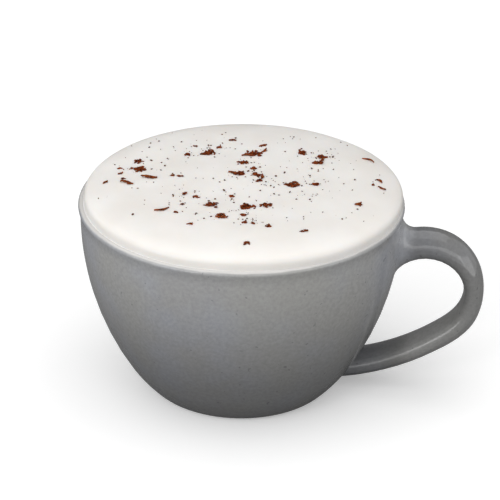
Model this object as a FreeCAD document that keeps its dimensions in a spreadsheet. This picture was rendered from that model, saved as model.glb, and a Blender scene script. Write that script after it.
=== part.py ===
"""Cappuccino in its cup.

A round bowl-shaped stoneware cup with a loop handle, filled past its lip with a
drink whose top is a dome of milk foam. Lengths are in millimetres and angles in
degrees. +Z is up, the cup's axis is Z, the handle reaches out along +X, and the
origin is at the middle of the foot, on the plane that the cup stands on.
"""
import FreeCAD, Part
import math
import os
import Sketcher
from FreeCAD import Placement, Rotation, Vector

# Driving dimensions: name, value, what it is
SIZES = [
    ("cup_height", 62.1, "foot plane to the top of the lip"),
    ("rim_radius", 50.0, "widest point of the rounded lip"),
    ("lip_radius", 1.2, "rounding of the lip, half the wall at the rim"),
    ("neck_inset", 0.6, "from the lip's widest point in to the wall just below it"),
    ("neck_drop", 3.9, "from the lip's widest point down to the neck"),
    ("foot_radius", 26.2, "outer edge of the flat foot ring"),
    ("foot_corner", 4.7, "rounding between the wall and the foot ring"),
    ("foot_width", 3.4, "flat width of the foot ring"),
    ("foot_recess", 1.6, "hollow under the base, inside the foot ring"),
    ("recess_slope", 1.2, "how far the side of that hollow leans inwards"),
    ("floor_height", 5.4, "foot plane to the inner floor"),
    ("floor_inset", 3.2, "from the foot ring's outer edge in to the flat inner floor's edge"),
    ("floor_corner", 12.0, "rounding between the inner floor and wall"),
    ("foot_tilt_share", 2.0, "tilt of a wall at its foot over its mean slope"),
    ("wall_tilt_share", 1.6, "tilt where a wall's two arcs meet over its mean slope"),
    ("handle_overhang", 24.86, "wall at the upper root out to the handle's centre line, farthest out"),
    ("handle_drop", 23.6, "neck down to the handle's farthest point"),
    ("handle_root_rise", 3.5, "that point up to where the upper root's underside meets the wall"),
    ("handle_top_radius", 14.8, "centre line bend over the top"),
    ("handle_side_radius", 16.4, "centre line bend below the farthest point"),
    ("handle_low_radius", 68.0, "gentle bend of the lower arm"),
    ("handle_edge", 2.4, "rounding of the handle's two edges"),
    ("handle_width", 11.8, "across the handle at the top and the side"),
    ("handle_root_width", 12.6, "across the handle where it joins the cup"),
    ("handle_top_depth", 9.4, "thickness over the top"),
    ("handle_side_depth", 6.2, "thickness at the farthest point"),
    ("handle_low_depth", 7.4, "thickness of the lower arm"),
    ("handle_root_depth", 10.4, "thickness at the upper root"),
    ("handle_crown_share", 0.75, "share of the thickness in the crowned outer face"),
    ("handle_root_turn", 158.8, "where on the top bend the upper root starts, above +X"),
    ("handle_foot_inset", 1.2, "foot ring's outer edge in to the end of the lower arm"),
    ("handle_foot_rise", 5.55, "foot plane to the end of the lower arm's centre line"),
    ("handle_blend", 4.0, "fillet under and round the upper root"),
    ("foam_inset", 1.0, "from the lip's widest point in to the foot of the foam dome"),
    ("foam_shift", 0.7, "how far the dome leans out towards the handle"),
    ("foam_rise", 6.8, "dome top above the top of the lip"),
    ("foam_edge", 5.4, "rounding of the dome's edge"),
    ("foam_seat", 0.2, "how far the foam settles below the top of the lip"),
]

# Values worked out from them, in the order in which they are needed
DERIVED = [
    ("lip_middle", "rim_radius - lip_radius"),
    ("lip_level", "cup_height - lip_radius"),
    ("inner_radius", "rim_radius - 2 * lip_radius"),
    ("neck_radius", "rim_radius - neck_inset"),
    ("neck_level", "lip_level - neck_drop"),
    ("floor_radius", "foot_radius - floor_inset"),
    ("outer_foot_tilt", "foot_tilt_share * atan((neck_radius - foot_radius) / neck_level) / 1deg"),
    ("outer_run", "neck_radius - foot_radius - foot_corner * cos(outer_foot_tilt)"),
    ("outer_drop", "neck_level - foot_corner * (1 - sin(outer_foot_tilt))"),
    ("outer_wall_tilt", "wall_tilt_share * atan(outer_run / outer_drop) / 1deg"),
    ("inner_depth", "lip_level - floor_height"),
    ("inner_foot_tilt", "foot_tilt_share * atan((inner_radius - floor_radius) / inner_depth) / 1deg"),
    ("inner_run", "inner_radius - floor_radius - floor_corner * cos(inner_foot_tilt)"),
    ("inner_drop", "inner_depth - floor_corner * (1 - sin(inner_foot_tilt))"),
    ("inner_wall_tilt", "wall_tilt_share * atan(inner_run / inner_drop) / 1deg"),
    ("recess_edge", "foot_radius - foot_width"),
    ("recess_radius", "recess_edge - recess_slope"),
    ("handle_level", "neck_level - handle_drop"),
    ("handle_foot", "foot_radius - handle_foot_inset"),
    ("foam_level", "cup_height - foam_seat"),
    ("foam_height", "foam_rise + foam_seat"),
    ("foam_radius", "rim_radius - foam_inset"),
    ("foam_inner", "foam_radius - foam_edge"),
    ("foam_crown", "(foam_inner ^ 2 + foam_height ^ 2 - foam_edge ^ 2) / (2 * (foam_height - foam_edge))"),
]

document = FreeCAD.newDocument("Cappuccino")


def make_sheet():
    """Spreadsheet with a named row for each driving and each derived value."""
    sheet = document.addObject("Spreadsheet::Sheet", "Sizes")
    row = 0
    for name, value, meaning in SIZES:
        row += 1
        sheet.set(f"A{row}", name)
        sheet.set(f"B{row}", str(value))
        sheet.set(f"C{row}", meaning)
        sheet.setAlias(f"B{row}", name)
    for name, formula in DERIVED:
        row += 1
        sheet.set(f"A{row}", name)
        sheet.set(f"B{row}", "=" + formula)
        sheet.setAlias(f"B{row}", name)
        document.recompute()
    return sheet


sheet = make_sheet()


def size(name):
    """A value of the sheet as a number."""
    return float(sheet.get(name))


def polar(centre, radius, angle):
    """Point at an angle in degrees on a circle."""
    turn = math.radians(angle)
    return (centre[0] + radius * math.cos(turn), centre[1] + radius * math.sin(turn))


def new_sketch(body, name, role="XZ_Plane", offset=None):
    """Empty sketch on one of the body's origin planes."""
    sketch = body.newObject("Sketcher::SketchObject", name)
    plane = next(item for item in body.Origin.OriginFeatures if item.Role == role)
    sketch.AttachmentSupport = [(plane, "")]
    sketch.MapMode = "FlatFace"
    if offset is not None:
        sketch.AttachmentOffset = offset
    return sketch


def line(sketch, start, end, construction=False):
    edge = Part.LineSegment(Vector(*start, 0), Vector(*end, 0))
    return sketch.addGeometry(edge, construction)


def arc(sketch, centre, radius, first, last):
    """Anticlockwise arc from one angle to another."""
    circle = Part.Circle(Vector(*centre, 0), Vector(0, 0, 1), radius)
    edge = Part.ArcOfCircle(circle, math.radians(first), math.radians(last))
    return sketch.addGeometry(edge, False)


START, END, MIDDLE = 1, 2, 3
LEVEL_AXIS, UPRIGHT_AXIS = -1, -2


def tie(sketch, kind, *places, value=None):
    """Constraint, which follows the sheet where a value is named."""
    if value is None:
        return sketch.addConstraint(Sketcher.Constraint(kind, *places))
    index = sketch.addConstraint(Sketcher.Constraint(kind, *places, size(value)))
    label = f"{kind}_{index}"
    sketch.renameConstraint(index, label)
    sketch.setExpression(f"Constraints.{label}", "Sizes." + value)
    return index


def place(sketch, edge, end, across, up):
    """Fix a point of an edge at two values of the sheet."""
    tie(sketch, "DistanceX", edge, end, value=across)
    tie(sketch, "DistanceY", edge, end, value=up)


def tilt_arc(sketch, edge, end, middle, point, tilt):
    """Fix the slope at an arc's end with a spoke from the arc's middle."""
    spoke = line(sketch, middle, point, construction=True)
    tie(sketch, "Coincident", spoke, START, edge, MIDDLE)
    tie(sketch, "Coincident", spoke, END, edge, end)
    slope = Sketcher.Constraint("Angle", spoke, -math.radians(size(tilt)))
    index = sketch.addConstraint(slope)
    sketch.renameConstraint(index, tilt)
    sketch.setExpression(f"Constraints.{tilt}", f"-Sizes.{tilt} * 1deg")


def two_arc_radii(run, drop, first_tilt, last_tilt):
    """Radii of two tangent arcs that go down by drop and in by run.

    The first starts upright and ends at first_tilt, the second ends at last_tilt.
    """
    a = 1 - math.cos(math.radians(first_tilt))
    b = math.cos(math.radians(first_tilt)) - math.cos(math.radians(last_tilt))
    c = math.sin(math.radians(first_tilt))
    d = math.sin(math.radians(last_tilt)) - math.sin(math.radians(first_tilt))
    scale = a * d - b * c
    return (run * d - drop * b) / scale, (a * drop - c * run) / scale


def wall_arcs(side, top_radius, top_level):
    """Middle and radius of a wall's upper arc, their joint, then the lower arc's."""
    wall_tilt, foot_tilt = size(side + "_wall_tilt"), size(side + "_foot_tilt")
    run, drop = size(side + "_run"), size(side + "_drop")
    upper_radius, lower_radius = two_arc_radii(run, drop, wall_tilt, foot_tilt)
    upper_middle = (size(top_radius) - upper_radius, size(top_level))
    joint = polar(upper_middle, upper_radius, -wall_tilt)
    lower_middle = polar(joint, lower_radius, 180 - wall_tilt)
    return upper_middle, upper_radius, joint, lower_middle, lower_radius


def outer_wall(level):
    """Outer radius of the cup's wall at a level."""
    upper, upper_radius, joint, lower, lower_radius = wall_arcs("outer", "neck_radius", "neck_level")
    middle, radius = (upper, upper_radius) if level > joint[1] else (lower, lower_radius)
    return middle[0] + math.sqrt(radius**2 - (level - middle[1]) ** 2)


def bowl_wall(sketch, side, top_radius, top_level, flat_radius, flat_level, corner):
    """Curved wall in three tangent arcs, from an upright top to a flat bottom.

    Returns the upper, the lower and the corner arc. Each runs upwards.
    """
    wall_tilt, foot_tilt = size(side + "_wall_tilt"), size(side + "_foot_tilt")
    upper_middle, upper_radius, joint, lower_middle, lower_radius = wall_arcs(
        side, top_radius, top_level
    )
    corner_middle = (size(flat_radius), flat_level + size(corner))
    upper = arc(sketch, upper_middle, upper_radius, -wall_tilt, 0)
    lower = arc(sketch, lower_middle, lower_radius, -foot_tilt, -wall_tilt)
    bend = arc(sketch, corner_middle, size(corner), -90, -foot_tilt)
    place(sketch, upper, END, top_radius, top_level)
    tie(sketch, "Horizontal", upper, MIDDLE, upper, END)
    tie(sketch, "Tangent", lower, END, upper, START)
    tie(sketch, "Tangent", bend, END, lower, START)
    tilt_arc(sketch, upper, START, upper_middle, joint, side + "_wall_tilt")
    heel = polar(corner_middle, size(corner), -foot_tilt)
    tilt_arc(sketch, bend, END, corner_middle, heel, side + "_foot_tilt")
    tie(sketch, "Radius", bend, value=corner)
    tie(sketch, "Vertical", bend, MIDDLE, bend, START)
    tie(sketch, "DistanceX", bend, START, value=flat_radius)
    return upper, lower, bend


def revolve(body, sketch, kind="PartDesign::Revolution", name="Turned"):
    """Full turn of a sketch about its own vertical axis."""
    feature = body.newObject(kind, name)
    feature.Profile = sketch
    feature.ReferenceAxis = (sketch, ["V_Axis"])
    feature.Angle = 360
    body.Tip = feature
    document.recompute()
    return feature


def draw_cup_blank(sketch):
    """Cross-section of the cup without its hollow."""
    lip_middle = (size("lip_middle"), size("lip_level"))
    reach = size("neck_radius") - size("lip_middle")
    drop, rounding = size("neck_drop"), size("lip_radius")
    neck_bend = (reach**2 + drop**2 - rounding**2) / (2 * (rounding - reach))
    neck_middle = (size("neck_radius") + neck_bend, size("neck_level"))
    toward_neck = math.degrees(math.atan2(-drop, reach + neck_bend))
    lip = arc(sketch, lip_middle, rounding, toward_neck, 90)
    neck = arc(sketch, neck_middle, neck_bend, 180 + toward_neck, 180)
    upper, _, bend = bowl_wall(
        sketch, "outer", "neck_radius", "neck_level", "foot_radius", 0, "foot_corner"
    )
    foot = (size("foot_radius"), 0)
    recess_edge = (size("recess_edge"), 0)
    recess_corner = (size("recess_radius"), size("foot_recess"))
    recess_middle = (0, size("foot_recess"))
    top_middle = (0, size("cup_height"))
    ring = line(sketch, foot, recess_edge)
    slope = line(sketch, recess_edge, recess_corner)
    under = line(sketch, recess_corner, recess_middle)
    axis = line(sketch, recess_middle, top_middle)
    top = line(sketch, top_middle, (size("lip_middle"), size("cup_height")))
    place(sketch, lip, MIDDLE, "lip_middle", "lip_level")
    tie(sketch, "Radius", lip, value="lip_radius")
    tie(sketch, "Tangent", neck, START, lip, START)
    tie(sketch, "Tangent", upper, END, neck, END)
    tie(sketch, "Coincident", ring, START, bend, START)
    tie(sketch, "Horizontal", ring)
    tie(sketch, "PointOnObject", ring, START, LEVEL_AXIS)
    tie(sketch, "DistanceX", ring, END, value="recess_edge")
    tie(sketch, "Coincident", slope, START, ring, END)
    place(sketch, slope, END, "recess_radius", "foot_recess")
    tie(sketch, "Coincident", under, START, slope, END)
    tie(sketch, "Horizontal", under)
    tie(sketch, "PointOnObject", under, END, UPRIGHT_AXIS)
    tie(sketch, "Coincident", axis, START, under, END)
    tie(sketch, "Coincident", top, START, axis, END)
    tie(sketch, "PointOnObject", axis, END, UPRIGHT_AXIS)
    tie(sketch, "Horizontal", top)
    tie(sketch, "Tangent", top, END, lip, END)


def draw_hollow(sketch, rim):
    """Wall, floor and axis of the cup's inside, up to the lip's inner side.

    Returns the wall's upper arc and the axis, which a caller's rim closes.
    """
    floor_level = size("floor_height")
    upper, _, bend = bowl_wall(
        sketch, "inner", "inner_radius", "lip_level", "floor_radius", floor_level, "floor_corner"
    )
    floor = line(sketch, (0, floor_level), (size("floor_radius"), floor_level))
    axis = line(sketch, (0, rim), (0, floor_level))
    tie(sketch, "Coincident", floor, END, bend, START)
    tie(sketch, "Horizontal", floor)
    tie(sketch, "DistanceY", floor, START, value="floor_height")
    tie(sketch, "PointOnObject", floor, START, UPRIGHT_AXIS)
    tie(sketch, "Coincident", axis, END, floor, START)
    tie(sketch, "PointOnObject", axis, START, UPRIGHT_AXIS)
    return upper, axis


def draw_cup_hollow(sketch):
    """Room inside the cup, with the inner half of the lip's rounding."""
    rim = size("cup_height")
    upper, axis = draw_hollow(sketch, rim)
    lip = arc(sketch, (size("lip_middle"), size("lip_level")), size("lip_radius"), 90, 180)
    top = line(sketch, (size("lip_middle"), rim), (0, rim))
    place(sketch, lip, MIDDLE, "lip_middle", "lip_level")
    tie(sketch, "Coincident", lip, END, upper, END)
    tie(sketch, "Tangent", top, START, lip, START)
    tie(sketch, "Horizontal", top)
    tie(sketch, "Coincident", top, END, axis, START)


def eased(first, last, share):
    """Value between two others, without a jump in slope at either."""
    return first + (last - first) * share * share * (3 - 2 * share)


def bearing(start, end):
    """Angle in degrees above +X of the way from one point to another."""
    return math.degrees(math.atan2(end[1] - start[1], end[0] - start[0]))


def touching_middle(first, first_gap, second, second_gap):
    """Point at given gaps from two points, on the upper side of their line."""
    run, rise = first[0] - second[0], first[1] - second[1]
    apart = math.hypot(run, rise)
    along = (second_gap**2 - first_gap**2 + apart**2) / (2 * apart)
    aside = math.sqrt(second_gap**2 - along**2)
    across = (run / apart, rise / apart)
    return (
        second[0] + along * across[0] - aside * across[1],
        second[1] + along * across[1] + aside * across[0],
    )


def handle_stations():
    """Where the handle's sections stand: point, angle, depth and width.

    They run down the centre line from the upper root to the lower one. The angle
    is that of the section's outward axis above +X.
    """
    level = size("handle_level")
    top_radius, side_radius = size("handle_top_radius"), size("handle_side_radius")
    low_radius = size("handle_low_radius")
    reach = outer_wall(level + size("handle_root_rise")) + size("handle_overhang")
    foot = (size("handle_foot"), size("handle_foot_rise"))
    top_middle = (reach - top_radius, level)
    side_middle = (reach - side_radius, level)
    low_middle = touching_middle(side_middle, low_radius - side_radius, foot, low_radius)
    turn = -bearing(low_middle, side_middle)
    low_end = bearing(low_middle, foot)
    top_start = size("handle_root_turn")
    root_depth, top_depth = size("handle_root_depth"), size("handle_top_depth")
    side_depth, low_depth = size("handle_side_depth"), size("handle_low_depth")
    slim, broad = size("handle_width"), size("handle_root_width")
    # middle, radius, angles, depths, widths and steps of each stretch
    stretches = [
        (top_middle, top_radius, top_start, 90, root_depth, top_depth, broad, slim, 3),
        (top_middle, top_radius, 90, 0, top_depth, side_depth, slim, slim, 4),
        (side_middle, side_radius, 0, -turn, side_depth, low_depth, slim, slim, 3),
        (low_middle, low_radius, -turn, low_end, low_depth, low_depth, slim, broad, 6),
    ]
    stations = []
    for middle, radius, first, last, deep, deeper, wide, wider, steps in stretches:
        for step in range(steps):
            share = step / steps
            angle = first + (last - first) * share
            depth = eased(deep, deeper, share)
            width = eased(wide, wider, share)
            stations.append((polar(middle, radius, angle), angle, depth, width))
    stations.append((polar(low_middle, low_radius, low_end), low_end, low_depth, broad))
    return stations


def draw_handle_section(sketch, depth, width):
    """Oval of four tangent arcs: crowned outside, flatter inside, rounded edges.

    Its first axis points away from the handle's loop, its second across the handle.
    """
    edge = size("handle_edge")
    outside = (depth - 2 * edge) * size("handle_crown_share")
    inside = (depth - 2 * edge) - outside
    offset = width / 2 - edge
    crown = (outside**2 + offset**2) / (2 * outside) + edge
    hollow = (inside**2 + offset**2) / (2 * inside) + edge
    crown_middle = (edge + outside - crown, 0)
    hollow_middle = (hollow - edge - inside, 0)
    crown_turn = math.degrees(math.atan2(offset, -crown_middle[0]))
    hollow_turn = math.degrees(math.atan2(offset, hollow_middle[0]))
    arc(sketch, crown_middle, crown, -crown_turn, crown_turn)
    arc(sketch, (0, offset), edge, crown_turn, 180 - hollow_turn)
    arc(sketch, hollow_middle, hollow, 180 - hollow_turn, 180 + hollow_turn)
    arc(sketch, (0, -offset), edge, 180 + hollow_turn, 360 - crown_turn)
    for first, second in ((0, 1), (1, 2), (2, 3), (3, 0)):
        tie(sketch, "Tangent", first, END, second, START)
    tie(sketch, "Radius", 1, value="handle_edge")
    tie(sketch, "Radius", 3, value="handle_edge")


def add_handle(body):
    """Handle lofted through its sections."""
    sections = []
    for number, (point, angle, depth, width) in enumerate(handle_stations(), start=1):
        stand = Placement(Vector(point[0], 0, point[1]), Rotation(Vector(0, 1, 0), -angle))
        section = new_sketch(body, f"HandleSection{number}", "XY_Plane", stand)
        draw_handle_section(section, depth, width)
        sections.append(section)
    document.recompute()
    handle = body.newObject("PartDesign::AdditiveLoft", "Handle")
    handle.Profile = sections[0]
    handle.Sections = sections[1:]
    body.Tip = handle
    document.recompute()
    return handle


def upper_root_edges(shape):
    """Names of the edges where the handle's upper arm meets the cup's wall."""
    names = []
    for number, edge in enumerate(shape.Edges, start=1):
        box = edge.BoundBox
        on_wall = 0 < box.XMin and box.XMax < size("neck_radius")
        across = 0.5 < box.YLength < 2 * size("handle_root_width")
        if on_wall and across and box.ZMin > size("cup_height") / 3:
            names.append(f"Edge{number}")
    return names


def make_cup():
    """Cup: turned blank, lofted handle blended at its upper root, turned hollow."""
    body = document.addObject("PartDesign::Body", "Cup")
    body.Label = "cup"
    blank = new_sketch(body, "BlankProfile", "YZ_Plane")
    draw_cup_blank(blank)
    document.recompute()
    revolve(body, blank, "PartDesign::Revolution", "Blank")
    handle = add_handle(body)
    blend = body.newObject("PartDesign::Fillet", "RootBlend")
    blend.Base = (handle, upper_root_edges(handle.Shape))
    blend.setExpression("Radius", "Sizes.handle_blend")
    body.Tip = blend
    document.recompute()
    hollow = new_sketch(body, "HollowProfile", "YZ_Plane")
    draw_cup_hollow(hollow)
    document.recompute()
    revolve(body, hollow, "PartDesign::Groove", "Hollow")
    return body


def draw_drink(sketch):
    """Cross-section of the drink inside the cup, up onto the lip's inner rounding."""
    level = size("foam_level")
    upper, axis = draw_hollow(sketch, level)
    middle = (size("lip_middle"), size("lip_level"))
    rise = level - middle[1]
    meeting = (middle[0] - math.sqrt(size("lip_radius") ** 2 - rise**2), level)
    angle = math.degrees(math.atan2(rise, meeting[0] - middle[0]))
    lip = arc(sketch, middle, size("lip_radius"), angle, 180)
    top = line(sketch, meeting, (0, level))
    place(sketch, lip, MIDDLE, "lip_middle", "lip_level")
    tie(sketch, "Coincident", lip, END, upper, END)
    tie(sketch, "Coincident", top, START, lip, START)
    tie(sketch, "Horizontal", top)
    tie(sketch, "Coincident", top, END, axis, START)
    tie(sketch, "DistanceY", axis, START, value="foam_level")


def draw_foam_dome(sketch):
    """Half of the dome: upright rounded edge, then a wide crown up to its own axis."""
    level, edge_radius = size("foam_level"), size("foam_edge")
    shift, crown_radius = size("foam_shift"), size("foam_crown")
    edge_middle = (shift + size("foam_inner"), level)
    crown_middle = (shift, level + size("foam_height") - crown_radius)
    slope = math.degrees(math.atan2(level - crown_middle[1], size("foam_inner")))
    peak = (shift, level + size("foam_height"))
    edge = arc(sketch, edge_middle, edge_radius, 0, slope)
    crown = arc(sketch, crown_middle, crown_radius, slope, 90)
    axis = line(sketch, peak, (shift, level))
    base = line(sketch, (shift, level), (edge_middle[0] + edge_radius, level))
    tie(sketch, "Tangent", edge, END, crown, START)
    tie(sketch, "Radius", edge, value="foam_edge")
    tie(sketch, "Radius", crown, value="foam_crown")
    tie(sketch, "Coincident", crown, END, axis, START)
    tie(sketch, "Vertical", axis)
    tie(sketch, "PointOnObject", crown, MIDDLE, axis)
    tie(sketch, "Coincident", axis, END, base, START)
    tie(sketch, "Coincident", base, END, edge, START)
    tie(sketch, "Horizontal", base)
    tie(sketch, "PointOnObject", edge, MIDDLE, base)
    place(sketch, axis, END, "foam_shift", "foam_level")
    tie(sketch, "DistanceX", base, value="foam_radius")
    return axis


def draw_lip_ring(sketch):
    """The lip's round cross-section."""
    middle = Vector(size("lip_middle"), size("lip_level"), 0)
    ring = sketch.addGeometry(Part.Circle(middle, Vector(0, 0, 1), size("lip_radius")), False)
    place(sketch, ring, MIDDLE, "lip_middle", "lip_level")
    tie(sketch, "Radius", ring, value="lip_radius")


def make_drink():
    """Drink: what fills the cup, the foam dome on it, and the lip cut out of both."""
    body = document.addObject("PartDesign::Body", "Drink")
    body.Label = "foamed_drink"
    filling = new_sketch(body, "FillingProfile")
    draw_drink(filling)
    document.recompute()
    revolve(body, filling, "PartDesign::Revolution", "Filling")
    dome = new_sketch(body, "DomeProfile")
    axis = draw_foam_dome(dome)
    document.recompute()
    foam = body.newObject("PartDesign::Revolution", "FoamDome")
    foam.Profile = dome
    foam.ReferenceAxis = (dome, [f"Edge{axis + 1}"])
    foam.Angle = 360
    body.Tip = foam
    document.recompute()
    ring = new_sketch(body, "LipProfile")
    draw_lip_ring(ring)
    document.recompute()
    revolve(body, ring, "PartDesign::Groove", "LipRest")
    return body


def check_document():
    """Stop if any object of the document failed."""
    for item in document.Objects:
        if "Invalid" in item.State or "Error" in item.State:
            raise RuntimeError(f"{item.Label} failed: {item.State}")


def write_parts(bodies):
    """Write each body's solid to parts/, named by its label."""
    os.makedirs("parts", exist_ok=True)
    for body in bodies:
        shape = body.Shape
        if shape.isNull() or not shape.isValid() or len(shape.Solids) != 1:
            raise RuntimeError(f"{body.Label} is not one valid solid")
    for body in bodies:
        body.Shape.exportStep(f"parts/{body.Label}.step")
        volume = body.Shape.Volume / 1000
        print(f"{body.Label}: {volume:.1f} cm3, {len(body.Shape.Faces)} faces")


bodies = [make_cup(), make_drink()]
document.recompute()
check_document()
write_parts(bodies)
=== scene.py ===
"""Looks of the cappuccino: glazed stoneware, milk foam and chocolate flakes.

Lengths are in metres in the frame's own axes: +Z up, the cup's axis on Z, the
handle towards +X and the cup standing on z = 0.
"""
import math
import random

import bmesh
import bpy
from mathutils import Matrix, Vector, noise


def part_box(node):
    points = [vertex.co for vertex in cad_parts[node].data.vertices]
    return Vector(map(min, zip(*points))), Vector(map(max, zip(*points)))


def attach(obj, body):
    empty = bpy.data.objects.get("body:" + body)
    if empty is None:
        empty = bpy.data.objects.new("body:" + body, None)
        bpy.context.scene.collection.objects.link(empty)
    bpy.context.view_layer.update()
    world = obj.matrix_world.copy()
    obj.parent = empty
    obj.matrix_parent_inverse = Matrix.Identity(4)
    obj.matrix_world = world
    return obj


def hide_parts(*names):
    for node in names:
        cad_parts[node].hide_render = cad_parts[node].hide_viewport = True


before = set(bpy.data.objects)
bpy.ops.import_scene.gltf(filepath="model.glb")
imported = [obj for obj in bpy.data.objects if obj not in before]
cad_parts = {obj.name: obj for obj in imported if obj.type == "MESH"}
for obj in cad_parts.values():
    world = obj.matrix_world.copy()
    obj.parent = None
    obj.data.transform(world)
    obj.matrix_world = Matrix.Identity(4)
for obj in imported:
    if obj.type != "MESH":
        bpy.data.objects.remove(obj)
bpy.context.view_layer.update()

MM = 0.001
_, cup_high = (Vector(corner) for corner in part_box("cup"))
foam_low, foam_high = (Vector(corner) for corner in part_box("foamed_drink"))

LIP_TOP = cup_high.z
RIM_RADIUS = cup_high.y
LIP_ROUNDING = 1.2 * MM
LIP_MIDDLE = RIM_RADIUS - LIP_ROUNDING
FOAM_SHIFT = (foam_low.x + foam_high.x) / 2
FOAM_RADIUS = (foam_high.y - foam_low.y) / 2
FOAM_TOP = foam_high.z
FOAM_BASE = LIP_TOP - 0.2 * MM
FOAM_SINK = 0.35 * MM

# Foam's dome: shares of its height that its flat-topped and its plain round parts give
SHOULDER_SHARE = 0.85
CROWN_SHARE = 0.15

# Foam's unevenness: height of its slow swells and of its quicker ripples
SWELL = 0.32 * MM
RIPPLE = 0.09 * MM

# How far the camera stands round the cup from its front
VIEW_TURN = math.radians(4)


# ---------------------------------------------------------------- materials
def new_material(name):
    """Empty node material with its Principled shader."""
    material = bpy.data.materials.new(name)
    material.use_nodes = True
    nodes = material.node_tree.nodes
    return material, nodes, material.node_tree.links, nodes["Principled BSDF"]


def add_noise(nodes, links, scale, detail=2.0, roughness=0.5, stretch=None):
    """Noise over the object's own coordinates, in cells per metre."""
    where = nodes.new("ShaderNodeTexCoord")
    texture = nodes.new("ShaderNodeTexNoise")
    texture.inputs["Scale"].default_value = scale
    texture.inputs["Detail"].default_value = detail
    texture.inputs["Roughness"].default_value = roughness
    source = where.outputs["Object"]
    if stretch is not None:
        mapping = nodes.new("ShaderNodeMapping")
        mapping.inputs["Scale"].default_value = stretch
        links.new(source, mapping.inputs["Vector"])
        source = mapping.outputs["Vector"]
    links.new(source, texture.inputs["Vector"])
    return texture.outputs["Fac"]


def add_ramp(nodes, links, source, stops):
    """Colour ramp from (place, colour) stops."""
    ramp = nodes.new("ShaderNodeValToRGB")
    elements = ramp.color_ramp.elements
    while len(elements) < len(stops):
        elements.new(0.5)
    for element, (place, colour) in zip(elements, stops):
        element.position = place
        element.color = (*colour, 1.0)
    links.new(source, ramp.inputs["Fac"])
    return ramp.outputs["Color"]


def add_range(nodes, links, source, low, high, to_low, to_high):
    """Map a value from one range to another, with soft ends."""
    mapped = nodes.new("ShaderNodeMapRange")
    mapped.interpolation_type = "SMOOTHSTEP"
    for name, value in zip(("From Min", "From Max", "To Min", "To Max"), (low, high, to_low, to_high)):
        mapped.inputs[name].default_value = value
    links.new(source, mapped.inputs["Value"])
    return mapped.outputs["Result"]


def add_mix(nodes, links, factor, first, second, blend="MIX"):
    """Mix two colours; each is a colour or another node's output."""
    mix = nodes.new("ShaderNodeMix")
    mix.data_type = "RGBA"
    mix.blend_type = blend
    for socket, value in ((mix.inputs[0], factor), (mix.inputs[6], first), (mix.inputs[7], second)):
        if isinstance(value, bpy.types.NodeSocket):
            links.new(value, socket)
        elif isinstance(value, tuple):
            socket.default_value = (*value, 1.0)
        else:
            socket.default_value = value
    return mix.outputs[2]


def add_math(nodes, links, operation, first, second):
    """Sum on two values; each is a number or another node's output."""
    node = nodes.new("ShaderNodeMath")
    node.operation = operation
    for socket, value in zip(node.inputs, (first, second)):
        if isinstance(value, bpy.types.NodeSocket):
            links.new(value, socket)
        else:
            socket.default_value = value
    return node.outputs[0]


def add_axes(nodes, links):
    """The object's own coordinates, as X, Y and Z."""
    where = nodes.new("ShaderNodeTexCoord")
    split = nodes.new("ShaderNodeSeparateXYZ")
    links.new(where.outputs["Object"], split.inputs[0])
    return split.outputs


def add_axis_distance(nodes, links, axes):
    """Distance from the cup's axis."""
    flat = nodes.new("ShaderNodeCombineXYZ")
    links.new(axes["X"], flat.inputs["X"])
    links.new(axes["Y"], flat.inputs["Y"])
    across = nodes.new("ShaderNodeVectorMath")
    across.operation = "LENGTH"
    links.new(flat.outputs[0], across.inputs[0])
    return across.outputs["Value"]


def add_wander(nodes, links, height, texture, reach):
    """Height that strays by a texture, so that a border isn't ruled."""
    stray = add_range(nodes, links, texture, 0.3, 0.7, -reach, reach)
    return add_math(nodes, links, "ADD", height, stray)


def add_bumps(nodes, links, shader, layers):
    """Chain of bump layers, each (height output, depth in metres)."""
    normal = None
    for height, depth in layers:
        bump = nodes.new("ShaderNodeBump")
        bump.inputs["Distance"].default_value = depth
        bump.inputs["Strength"].default_value = 1.0
        links.new(height, bump.inputs["Height"])
        if normal is not None:
            links.new(normal, bump.inputs["Normal"])
        normal = bump.outputs["Normal"]
    links.new(normal, shader.inputs["Normal"])


GREY = (0.262, 0.262, 0.263)
GREY_BLUE = (0.268, 0.276, 0.298)
GREY_WARM = (0.270, 0.268, 0.256)
SPECK = (0.10, 0.10, 0.11)
WHITE_GLAZE = (0.68, 0.665, 0.645)

# Tone of the glaze, set to the photo's shading, of which part is its light: heights where
# it starts and stops changing, and its shares there
BOWL_TONE_AND_PAINTED_SHADING = (7 * MM, 60 * MM, 0.71, 1.44)
HANDLE_TONE_AND_PAINTED_SHADING = (12 * MM, 64 * MM, 1.08, 0.62)
# Distances from the axis over which the bowl's tone and painted shading give way to the handle's
HANDLE_START, HANDLE_FULL = 49 * MM, 55 * MM
# Depths under the lip's top over which the grey breaks to white
LIP_GREY, LIP_WHITE = 0.65 * MM, 0.08 * MM
# Half the width of the white's border on the lip's top, and how deep the inside's white goes
INSIDE_BLUR, INSIDE_DEPTH = 0.3 * MM, 1.4 * MM


def add_mottling(nodes, links, broad):
    """Grey that drifts to blue and to warm, with fine grain and dark specks."""
    warm = add_noise(nodes, links, 26, 2, 0.5, (1.0, 1.0, 0.6))
    fine = add_noise(nodes, links, 900, 2, 0.6)
    specks = add_noise(nodes, links, 620, 1, 0.4)
    blue = add_mix(nodes, links, add_range(nodes, links, broad, 0.38, 0.66, 0, 1), GREY, GREY_BLUE)
    body = add_mix(nodes, links, add_range(nodes, links, warm, 0.45, 0.68, 0, 0.8), blue, GREY_WARM)
    grain = add_ramp(nodes, links, fine, [(0.3, (0.91, 0.91, 0.91)), (0.7, (1.07, 1.07, 1.07))])
    body = add_mix(nodes, links, 1.0, body, grain, "MULTIPLY")
    speckled = add_range(nodes, links, specks, 0.27, 0.23, 0, 0.45)
    return add_mix(nodes, links, speckled, body, SPECK)


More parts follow.
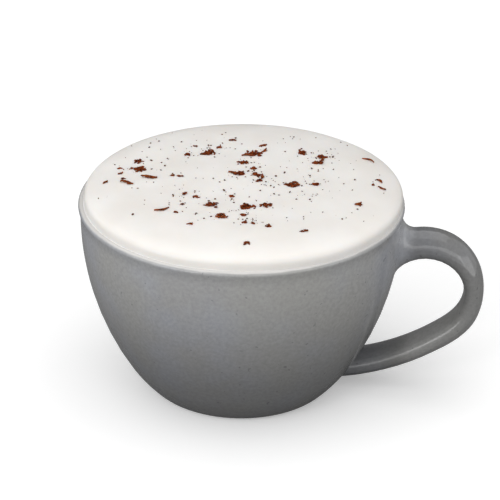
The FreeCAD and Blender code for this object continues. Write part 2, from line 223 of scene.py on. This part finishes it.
def add_tone_and_painted_shading(nodes, links, body, height, distance):
    """Glaze tone with painted light and shade: the bowl from dark at the foot to pale at the lip, and
    the handle darker upwards on its own scale.
    """
    bowl_tone_and_painted_shading = add_range(nodes, links, height, *BOWL_TONE_AND_PAINTED_SHADING)
    handle_tone_and_painted_shading = add_range(nodes, links, height, *HANDLE_TONE_AND_PAINTED_SHADING)
    handle = add_range(nodes, links, distance, HANDLE_START, HANDLE_FULL, 0, 1)
    tone_and_painted_shading = add_mix(nodes, links, handle, bowl_tone_and_painted_shading, handle_tone_and_painted_shading)
    return add_mix(nodes, links, 1.0, body, tone_and_painted_shading, "MULTIPLY")


def add_white_share(nodes, links, height, distance):
    """Share of white glaze: on the lip's top and inside the cup."""
    level = add_wander(nodes, links, height, add_noise(nodes, links, 160, 2, 0.5), 0.06 * MM)
    lip = add_range(nodes, links, level, LIP_TOP - LIP_GREY, LIP_TOP - LIP_WHITE, 0, 1)
    inner, outer = LIP_MIDDLE - INSIDE_BLUR, LIP_MIDDLE + INSIDE_BLUR
    inside = add_range(nodes, links, distance, inner, outer, 1, 0)
    high = add_math(nodes, links, "GREATER_THAN", height, LIP_TOP - INSIDE_DEPTH)
    return add_math(nodes, links, "MAXIMUM", lip, add_math(nodes, links, "MULTIPLY", inside, high))


def make_glaze():
    """Mottled grey glaze, paler upwards partly by painted light and shade, that breaks to white on the
    lip.
    """
    material, nodes, links, shader = new_material("grey_glaze")
    broad = add_noise(nodes, links, 38, 3, 0.6)
    axes = add_axes(nodes, links)
    distance = add_axis_distance(nodes, links, axes)
    body = add_mottling(nodes, links, broad)
    body = add_tone_and_painted_shading(nodes, links, body, axes["Z"], distance)
    white = add_white_share(nodes, links, axes["Z"], distance)
    colour = add_mix(nodes, links, white, body, WHITE_GLAZE)
    links.new(colour, shader.inputs["Base Color"])
    rough = add_range(nodes, links, broad, 0.3, 0.7, 0.09, 0.14)
    links.new(rough, shader.inputs["Roughness"])
    shader.inputs["Coat Weight"].default_value = 0.35
    shader.inputs["Coat Roughness"].default_value = 0.06
    shader.inputs["IOR"].default_value = 1.5
    peel = add_noise(nodes, links, 420, 2, 0.5)
    sag = add_noise(nodes, links, 60, 2, 0.5)
    add_bumps(nodes, links, shader, [(peel, 0.02 * MM), (sag, 0.10 * MM)])
    return material


FOAM_SHADE = (0.875, 0.842, 0.800)
FOAM_LIGHT = (0.915, 0.892, 0.862)
# Grey of the painted shade where the foam meets the lip
FOAM_PAINTED_SHADE = (0.70, 0.68, 0.65)


def make_foam_material():
    """Dense milk foam: warm white, soft inside, with pin-sized bubbles."""
    material, nodes, links, shader = new_material("milk_foam")
    cloud = add_noise(nodes, links, 70, 3, 0.5)
    tint = add_ramp(nodes, links, cloud, [(0.3, FOAM_SHADE), (0.7, FOAM_LIGHT)])
    height = add_axes(nodes, links)["Z"]
    # Painted shade: the foam greys a little towards where it meets the lip, over its lowest two
    # millimetres
    level = add_wander(nodes, links, height, add_noise(nodes, links, 220, 2, 0.6), 0.3 * MM)
    foam_edge_painted_shade = add_range(nodes, links, level, LIP_TOP - 0.1 * MM, LIP_TOP + 2.2 * MM, 0.16, 0)
    colour = add_mix(nodes, links, foam_edge_painted_shade, tint, FOAM_PAINTED_SHADE)
    links.new(colour, shader.inputs["Base Color"])
    shader.inputs["Subsurface Weight"].default_value = 0.35
    shader.inputs["Subsurface Radius"].default_value = (1.0, 0.85, 0.7)
    shader.inputs["Subsurface Scale"].default_value = 1.5 * MM
    rough = add_range(nodes, links, cloud, 0.3, 0.7, 0.30, 0.42)
    links.new(rough, shader.inputs["Roughness"])
    shader.inputs["Specular IOR Level"].default_value = 0.35
    where = nodes.new("ShaderNodeTexCoord")
    cells = nodes.new("ShaderNodeTexVoronoi")
    cells.inputs["Scale"].default_value = 1600
    links.new(where.outputs["Object"], cells.inputs["Vector"])
    bubbles = add_range(nodes, links, cells.outputs["Distance"], 0.0, 0.55, 0, 1)
    silk = add_noise(nodes, links, 300, 3, 0.5)
    add_bumps(nodes, links, shader, [(bubbles, 0.01 * MM), (silk, 0.03 * MM)])
    return material


def make_chocolate(name, dark, light):
    """Shaved chocolate: dark brown to rust, and matt."""
    material, nodes, links, shader = new_material(name)
    patches = add_noise(nodes, links, 1500, 3, 0.6)
    colour = add_ramp(nodes, links, patches, [(0.35, dark), (0.68, light)])
    links.new(colour, shader.inputs["Base Color"])
    shader.inputs["Roughness"].default_value = 0.7
    shader.inputs["Specular IOR Level"].default_value = 0.10
    grit = add_noise(nodes, links, 5000, 2, 0.6)
    add_bumps(nodes, links, shader, [(grit, 0.05 * MM)])
    return material


# ---------------------------------------------------------------- meshes
def add_piece(name, mesh, material):
    """Object for a mesh, riding on the part's one body."""
    piece = bpy.data.objects.new(name, mesh)
    bpy.context.collection.objects.link(piece)
    mesh.materials.append(material)
    mesh.shade_smooth()
    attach(piece, "root")
    return piece


def dome_share(out):
    """Height of the dome over its base, as a share, at a share of its radius."""
    return SHOULDER_SHARE * (1 - out**5) ** 0.2 + CROWN_SHARE * (1 - out**2)


def dome_out(share):
    """Share of the dome's radius where it has a share of its height."""
    low, high = 0.0, 1.0
    for _ in range(40):
        middle = (low + high) / 2
        if dome_share(middle) > share:
            low = middle
        else:
            high = middle
    return low


def foam_height(x, y):
    """Height of the foam's smooth skin over a point."""
    out = min(math.hypot(x - FOAM_SHIFT, y) / FOAM_RADIUS, 1.0)
    return FOAM_BASE + (FOAM_TOP - FOAM_SINK - FOAM_BASE) * dome_share(out)


def add_rings(bm, rings, close_first, close_last):
    """Skin rings of points, each with the same count, and cap them with points."""
    loops = [[bm.verts.new(point) for point in ring] for ring in rings]
    count = len(loops[0])
    for lower, upper in zip(loops, loops[1:]):
        for index in range(count):
            after = (index + 1) % count
            bm.faces.new((lower[index], lower[after], upper[after], upper[index]))
    for point, loop, turned in ((close_first, loops[0], True), (close_last, loops[-1], False)):
        tip = bm.verts.new(point)
        for index in range(count):
            after = (index + 1) % count
            corners = (loop[index], loop[after], tip)
            bm.faces.new(tuple(reversed(corners)) if turned else corners)


def finish_mesh(bm, name):
    """Mesh from an edited one, which is freed."""
    bm.normal_update()
    mesh = bpy.data.meshes.new(name)
    bm.to_mesh(mesh)
    bm.free()
    return mesh


# ---------------------------------------------------------------- drink
# Points round the skin, and its rings against the wall, over the hem, the edge and the crown
AROUND = 288
UNDER_STEPS = 26
HEM_STEPS = 7
EDGE_STEPS = 26
CROWN_STEPS = 56
# Hem, where the foam rounds down onto the lip: its share of the dome's height, and its width
HEM_SHARE = 0.07
HEM_WIDTH = 0.6 * MM
# Share of the dome's height where the crown starts
CROWN_FROM = 0.86
# Gaps from the cup's wall and floor, and how far the skin drops inside the lip
WALL_CLEARANCE = 0.05 * MM
FLOOR_CLEARANCE = 0.3 * MM
SEAT_DROP = 0.35 * MM
# Edge of the foam: millimetres of its broad lumps, of its ripples, and inwards
EDGE_LUMPS, EDGE_RIPPLES, EDGE_INWARDS = 0.35, 0.08, 0.2


def wall_profile():
    """Radius of the drink at heights from just above the floor to the lip."""
    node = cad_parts["foamed_drink"]
    graph = bpy.context.evaluated_depsgraph_get()
    solid = node.evaluated_get(graph)
    low, high = foam_low.z + FLOOR_CLEARANCE, LIP_TOP - LIP_ROUNDING
    profile = []
    for step in range(UNDER_STEPS):
        level = low + (high - low) * (step / (UNDER_STEPS - 1)) ** 1.6
        hit, point, _, _ = solid.ray_cast(Vector((0, 0, level)), Vector((0, 1, 0)))
        if hit:
            profile.append((point.y - WALL_CLEARANCE, level))
    return profile


def uneven(x, y):
    """Unevenness of the foam's skin over a point, in metres."""
    slow = noise.noise(Vector((x * 45, y * 45, 3.1)))
    quick = noise.noise(Vector((x * 130, y * 130, 7.7)))
    return SWELL * slow + RIPPLE * quick


def lip_level(out):
    """Height of the lip's rounding at a distance from the cup's axis."""
    return LIP_TOP - LIP_ROUNDING + math.sqrt(max(0.0, LIP_ROUNDING**2 - (out - LIP_MIDDLE) ** 2))


def edge_pull(turn):
    """How far the foam's edge strays outwards at an angle round the cup."""
    lumps = noise.noise(Vector((1.6 * math.cos(turn), 1.6 * math.sin(turn), 0.4)))
    ripple = noise.noise(Vector((6 * math.cos(turn), 6 * math.sin(turn), 2.0)))
    return (EDGE_LUMPS * min(lumps, 0.4) + EDGE_RIPPLES * ripple) * MM - EDGE_INWARDS * MM


def make_foam():
    """Drink with its dome of foam, as one closed skin from the cup's floor up."""
    turns = [2 * math.pi * index / AROUND for index in range(AROUND)]
    rings = []
    for radius, level in wall_profile():
        rings.append([(radius * math.cos(t), radius * math.sin(t), level) for t in turns])
    seat = LIP_MIDDLE - 0.75 * LIP_ROUNDING
    rings.append([(seat * math.cos(t), seat * math.sin(t), FOAM_BASE - SEAT_DROP) for t in turns])

    def skin_ring(out, spare):
        """Ring of the dome's skin at a share of its radius, with a share of its unevenness."""
        ring = []
        near = out * FOAM_RADIUS
        for t in turns:
            far = near + edge_pull(t) * out**6
            x, y = FOAM_SHIFT + far * math.cos(t), far * math.sin(t)
            level = foam_height(FOAM_SHIFT + near * math.cos(t), near * math.sin(t))
            ring.append((x, y, level + spare * uneven(x, y)))
        return ring

    hem = skin_ring(dome_out(HEM_SHARE), 0.0)
    for step in range(HEM_STEPS):
        angle = math.pi / 2 * (1 - step / HEM_STEPS)
        ring = []
        for x, y, level in hem:
            out = math.hypot(x, y)
            foot = min(out + HEM_WIDTH, RIM_RADIUS - 0.15 * MM)
            low = lip_level(foot) - 0.05 * MM
            far = out + (foot - out) * (1 - math.cos(angle))
            ring.append((x * far / out, y * far / out, level + (low - level) * math.sin(angle)))
        rings.append(ring)
    for step in range(EDGE_STEPS):
        share = HEM_SHARE + (CROWN_FROM - HEM_SHARE) * step / EDGE_STEPS
        rings.append(skin_ring(dome_out(share), share))
    crown = dome_out(CROWN_FROM)
    for step in range(CROWN_STEPS):
        rings.append(skin_ring(crown * (1 - step / CROWN_STEPS), 1.0))
    bm = bmesh.new()
    top = (FOAM_SHIFT, 0, foam_height(FOAM_SHIFT, 0) + uneven(FOAM_SHIFT, 0))
    add_rings(bm, rings, (0, 0, foam_low.z + FLOOR_CLEARANCE), top)
    mesh = finish_mesh(bm, "drink_and_foam")
    foam = add_piece("drink_and_foam", mesh, make_foam_material())
    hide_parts("foamed_drink")


# ---------------------------------------------------------------- chocolate
# Darkest and lightest colour of the chocolate in each piece
FLAKE_TONES = ((0.032, 0.0045, 0.0015), (0.30, 0.058, 0.009))
SHAVING_TONES = ((0.055, 0.009, 0.003), (0.32, 0.075, 0.014))
DUST_TONES = ((0.045, 0.018, 0.010), (0.16, 0.058, 0.026))

# Fine crumbs: how many, and in millimetres how far out they lie and where they thin out
DUST_COUNT = 380
DUST_REACH = 45
DUST_FRONT = -30
# Clumps, from the first, that fine crumbs gather round
DUSTY_CLUMPS = 25

# Clumps as they lie, seen from the front: millimetres right, back, and across
CLUMPS = [
    (3.7, 18.5, 5.6), (-10.7, 19.2, 4.4), (-31.5, 7.6, 4.6), (-32.0, 13.6, 3.2),
    (-9.2, -17.8, 4.2), (1.4, -19.2, 4.8), (7.2, -18.3, 3.6), (15.3, -4.3, 4.6),
    (-0.6, 3.4, 4.2), (0.5, 11.4, 3.0), (3.6, 7.4, 2.2), (4.2, 2.6, 2.6),
    (5.4, -1.6, 2.4), (18.7, 20.0, 3.8), (24.8, 17.0, 3.6), (23.6, 12.5, 3.4),
    (22.4, -3.4, 2.8), (-6.0, -24.6, 3.0), (0.6, -24.7, 2.0), (0.8, -29.2, 1.6),
    (-2.8, -12.0, 1.9), (-13.8, -12.5, 2.0), (-17.2, -10.4, 1.7), (-17.2, 18.3, 2.2),
    (-7.0, 24.0, 2.2), (1.6, -41.2, 2.1), (-15.0, -30.0, 1.8), (7.8, -31.7, 2.0),
    (17.4, -34.0, 1.4), (18.8, -33.6, 1.2), (35.2, -15.5, 1.8), (40.0, -1.4, 0.9),
    (-21.5, 2.2, 1.7), (-18.4, 1.6, 1.9), (-17.6, -17.4, 1.3), (-19.5, -22.6, 1.3),
    (-36.4, 1.4, 1.3), (-37.4, 9.4, 1.2), (3.4, -30.0, 1.1), (-14.7, 25.3, 1.2),
]

# Strips as they lie, seen from the front: millimetres right, back, long and wide, and
# degrees turned
SHAVINGS = [
    (-28.2, 1.4, 4.8, 1.5, -4), (-35.0, -1.8, 4.4, 1.2, -14), (-23.6, -20.6, 4.8, 0.8, 24),
    (6.2, 1.2, 3.4, 1.0, 80), (7.0, 21.0, 3.2, 0.9, 60), (6.6, 25.0, 2.8, 0.8, 35),
    (39.5, 17.0, 4.4, 0.7, -38), (42.6, -3.2, 3.0, 0.8, -37), (42.2, 1.6, 2.6, 0.9, -46),
    (35.0, -15.2, 2.4, 1.2, 30), (16.6, -3.2, 3.0, 1.0, -30), (-9.4, 20.6, 3.0, 0.9, 140),
    (-41.6, -0.4, 2.2, 0.8, 60), (-3.0, 29.6, 2.4, 0.8, -8), (-6.0, -26.2, 3.6, 1.1, -18),
    (-37.2, 5.4, 2.0, 0.6, 40), (2.0, 17.0, 4.2, 0.9, 12), (-2.4, 4.0, 3.6, 1.1, -12),
    (24.8, 15.0, 3.2, 0.9, 70),
]


def on_foam(right, back, lift=0.0):
    """Point on the foam's skin, from millimetres right and back as seen."""
    x = (right * math.cos(VIEW_TURN) - back * math.sin(VIEW_TURN)) * MM
    y = (right * math.sin(VIEW_TURN) + back * math.cos(VIEW_TURN)) * MM
    return Vector((x, y, foam_height(x, y) + uneven(x, y) + lift))


def add_crumb(bm, rng, place, long, wide, high):
    """Broken lump: a ball pushed about, stretched and turned."""
    ball = bmesh.ops.create_icosphere(bm, subdivisions=1, radius=0.5)["verts"]
    shift = Vector((rng.uniform(0, 90), rng.uniform(0, 90), rng.uniform(0, 90)))
    for vert in ball:
        push = 1 + 0.6 * noise.noise(vert.co * 2.6 + shift)
        vert.co *= push
    stretch = Matrix.Diagonal((long, wide, high, 1.0))
    lean = Matrix.Rotation(rng.uniform(-0.5, 0.5), 4, "X")
    lean = lean @ Matrix.Rotation(rng.uniform(-0.4, 0.4), 4, "Y")
    turn = Matrix.Rotation(rng.uniform(0, 2 * math.pi), 4, "Z")
    bmesh.ops.transform(bm, matrix=Matrix.Translation(place) @ turn @ lean @ stretch, verts=ball)


def add_shaving(bm, rng, place, long, turn, wide, curl):
    """Curled strip of chocolate with ragged edges, thicker in its middle."""
    steps, thick = 16, 0.25 * MM
    to_world = Matrix.Translation(place) @ Matrix.Rotation(turn, 4, "Z")
    wave = rng.uniform(0, 6.28)  # where along its bend the strip starts
    rings = []
    for step in range(steps + 1):
        share = step / steps
        along = (share - 0.5) * long
        side = curl * long * math.sin(share * math.pi * 1.5 + wave) * 0.5
        taper = 0.25 + 0.75 * math.sin(math.pi * min(max(share, 0.04), 0.96))
        half = 0.5 * wide * taper * (1 + 0.9 * noise.noise(Vector((share * 9, wave, 0))))
        rise = 0.25 * wide + 0.18 * long * curl * math.sin(share * math.pi)
        rings.append([
            to_world @ Vector((along, side - half, rise - 0.3 * half)),
            to_world @ Vector((along, side, rise - thick)),
            to_world @ Vector((along, side + half, rise - 0.3 * half)),
            to_world @ Vector((along, side + 0.4 * half, rise + thick)),
            to_world @ Vector((along, side - 0.4 * half, rise + thick)),
        ])
    ends = [sum(ring, Vector()) / len(ring) for ring in (rings[0], rings[-1])]
    add_rings(bm, rings, ends[0], ends[1])


def make_flakes():
    """Clumps of broken chocolate where they show on the foam."""
    rng = random.Random(41)
    bm = bmesh.new()
    for right, back, across in CLUMPS:
        for _ in range(4 + int(across**2 * 1.6)):
            aside, behind = rng.gauss(0, across * 0.20), rng.gauss(0, across * 0.15)
            place = on_foam(right + aside, back + behind)
            heap = max(0.0, 1 - 2.4 * math.hypot(aside, behind) / across)
            long = rng.uniform(0.75, 1.7) * min(1.0, 0.5 + across * 0.2) * MM
            wide = long * rng.uniform(0.35, 0.8)
            high = long * rng.uniform(0.22, 0.42)
            place.z += high * 0.2 + heap * min(0.2 * across, 0.8) * rng.random() * MM
            add_crumb(bm, rng, place, long, wide, high)
    material = make_chocolate("dark_chocolate", *FLAKE_TONES)
    return add_piece("chocolate_flakes", finish_mesh(bm, "chocolate_flakes"), material)


def make_shavings():
    """Curled strips among the clumps."""
    rng = random.Random(7)
    bm = bmesh.new()
    for right, back, long, wide, turn in SHAVINGS:
        curl = rng.uniform(0.1, 0.3)
        heading = math.radians(turn) + VIEW_TURN
        add_shaving(bm, rng, on_foam(right, back), long * MM, heading, wide * MM, curl)
    material = make_chocolate("milk_chocolate", *SHAVING_TONES)
    return add_piece("chocolate_shavings", finish_mesh(bm, "chocolate_shavings"), material)


def make_dust():
    """Fine crumbs scattered over the foam, thicker near the clumps."""
    rng = random.Random(23)
    bm = bmesh.new()
    placed = 0
    while placed < DUST_COUNT:
        if rng.random() < 0.6:
            right, back, across = rng.choice(CLUMPS[:DUSTY_CLUMPS])
            right += rng.gauss(0, across * 0.9 + 1.5)
            back += rng.gauss(0, across * 0.9 + 1.5)
        else:
            right, back = rng.uniform(-DUST_REACH, DUST_REACH), rng.uniform(-28, 44)
        if math.hypot(right, back) > DUST_REACH or (back < DUST_FRONT and rng.random() < 0.8):
            continue
        grain = abs(rng.gauss(0.30, 0.22)) * MM + 0.16 * MM
        place = on_foam(right, back, grain * 0.15)
        wide, high = grain * rng.uniform(0.5, 0.9), grain * rng.uniform(0.4, 0.7)
        add_crumb(bm, rng, place, grain, wide, high)
        placed += 1
    material = make_chocolate("chocolate_dust", *DUST_TONES)
    return add_piece("chocolate_dust", finish_mesh(bm, "chocolate_dust"), material)


# ---------------------------------------------------------------- the part
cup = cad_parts["cup"]
glaze = make_glaze()
for slot in cup.material_slots:
    slot.material = glaze
make_foam()
make_flakes()
make_shavings()
make_dust()


# ---------------------------------------------------------------- stage
# Floor: the colour that lights the cup, the paler one that the camera sees, and its glow
FLOOR_REFLECTS = (0.22, 0.22, 0.22)
FLOOR_SHOWS = (0.93, 0.93, 0.93)
FLOOR_GLOW = 0.24
WORLD_STRENGTH = 0.67

# Softboxes: name, metres from the cup, degrees right of the camera and above the floor,
# width and height in metres, and watts
SOFTBOXES = [
    ("left", 1.6, -54, 20, 1.4, 0.9, 7.4),
    ("right", 1.6, 64, 12, 1.4, 0.6, 3.0),
    ("top", 1.6, 180, 80, 2.2, 1.8, 8.2),
    ("front", 1.5, 6, 22, 2.4, 0.45, 3.8),
    ("pane", 1.5, -25, 42, 0.3, 0.28, 1.1),
]

# Camera: its distance from the lip's middle, its angle above it, its roll, its lens and
# sensor in millimetres, and the point that it aims at
EYE_DISTANCE = 0.700
EYE_RISE = math.radians(25.83)
EYE_ROLL = math.radians(0.53)
LENS = 164.4
SENSOR = 36
AIM = Vector((2.7, 0.2, 44.2)) * MM


def make_floor():
    """Plain pale floor that curves up behind into a backdrop."""
    bm = bmesh.new()
    half, front, back, bend, steps = 2.5, -2.0, 1.6, 0.8, 16
    line = [(front, 0.0), (back, 0.0)]
    for step in range(1, steps + 1):
        angle = math.pi / 2 * step / steps
        line.append((back + bend * math.sin(angle), bend * (1 - math.cos(angle))))
    line.append((back + bend, 3.0))
    columns = [[bm.verts.new((side * half, y, z)) for y, z in line] for side in (-1, 1)]
    for index in range(len(line) - 1):
        left, right = columns
        bm.faces.new((left[index], right[index], right[index + 1], left[index + 1]))
    mesh = finish_mesh(bm, "floor")
    floor = bpy.data.objects.new("floor", mesh)
    bpy.context.collection.objects.link(floor)
    material, nodes, links, shader = new_material("floor_paper")
    seen = nodes.new("ShaderNodeLightPath").outputs["Is Camera Ray"]
    shade = add_mix(nodes, links, seen, FLOOR_REFLECTS, FLOOR_SHOWS)
    links.new(shade, shader.inputs["Base Color"])
    shader.inputs["Emission Color"].default_value = (1.0, 1.0, 1.0, 1)
    glow = add_math(nodes, links, "MULTIPLY", seen, FLOOR_GLOW)
    links.new(glow, shader.inputs["Emission Strength"])
    shader.inputs["Roughness"].default_value = 0.9
    shader.inputs["Specular IOR Level"].default_value = 0.0
    mesh.materials.append(material)
    mesh.shade_smooth()


def seen_from_cup(distance, aside, above):
    """Point at a distance, degrees right of the camera and above the floor."""
    turn, rise = math.radians(aside) + VIEW_TURN, math.radians(above)
    flat = distance * math.cos(rise)
    return Vector((flat * math.sin(turn), -flat * math.cos(turn), distance * math.sin(rise)))


def add_softbox(name, place, width, height, power):
    """Rectangular area light that faces the cup."""
    light = bpy.data.lights.new(name, "AREA")
    light.shape = "RECTANGLE"
    light.size, light.size_y = width, height
    light.energy = power
    lamp = bpy.data.objects.new(name, light)
    lamp.location = place
    lamp.rotation_euler = (Vector((0, 0, LIP_TOP)) - place).to_track_quat("-Z", "Y").to_euler()
    bpy.context.collection.objects.link(lamp)


def make_world():
    """Even light from all round."""
    world = bpy.data.worlds.new("studio")
    world.use_nodes = True
    background = world.node_tree.nodes["Background"]
    background.inputs["Color"].default_value = (1.0, 1.0, 1.0, 1)
    background.inputs["Strength"].default_value = WORLD_STRENGTH
    bpy.context.scene.world = world


def make_camera():
    """Camera where the picture was taken from, rolled a little about its line of sight."""
    looked_at = Vector((0, 0, LIP_TOP - 1.1 * MM))
    ahead = Vector((-math.sin(VIEW_TURN), math.cos(VIEW_TURN), 0))
    down = Vector((0, 0, -1))
    eye = looked_at - EYE_DISTANCE * (ahead * math.cos(EYE_RISE) + down * math.sin(EYE_RISE))
    camera = bpy.data.cameras.new("camera")
    camera.lens = LENS
    camera.sensor_width = SENSOR
    holder = bpy.data.objects.new("camera", camera)
    holder.location = eye
    look = (AIM - eye).to_track_quat("-Z", "Y")
    roll = Matrix.Rotation(EYE_ROLL, 4, "Z")
    holder.matrix_world = Matrix.Translation(eye) @ look.to_matrix().to_4x4() @ roll
    bpy.context.collection.objects.link(holder)
    bpy.context.scene.camera = holder


make_floor()
make_world()
for name, distance, aside, above, width, height, watts in SOFTBOXES:
    add_softbox(name, seen_from_cup(distance, aside, above), width, height, watts)
make_camera()
bpy.context.scene.view_settings.view_transform = "Standard"
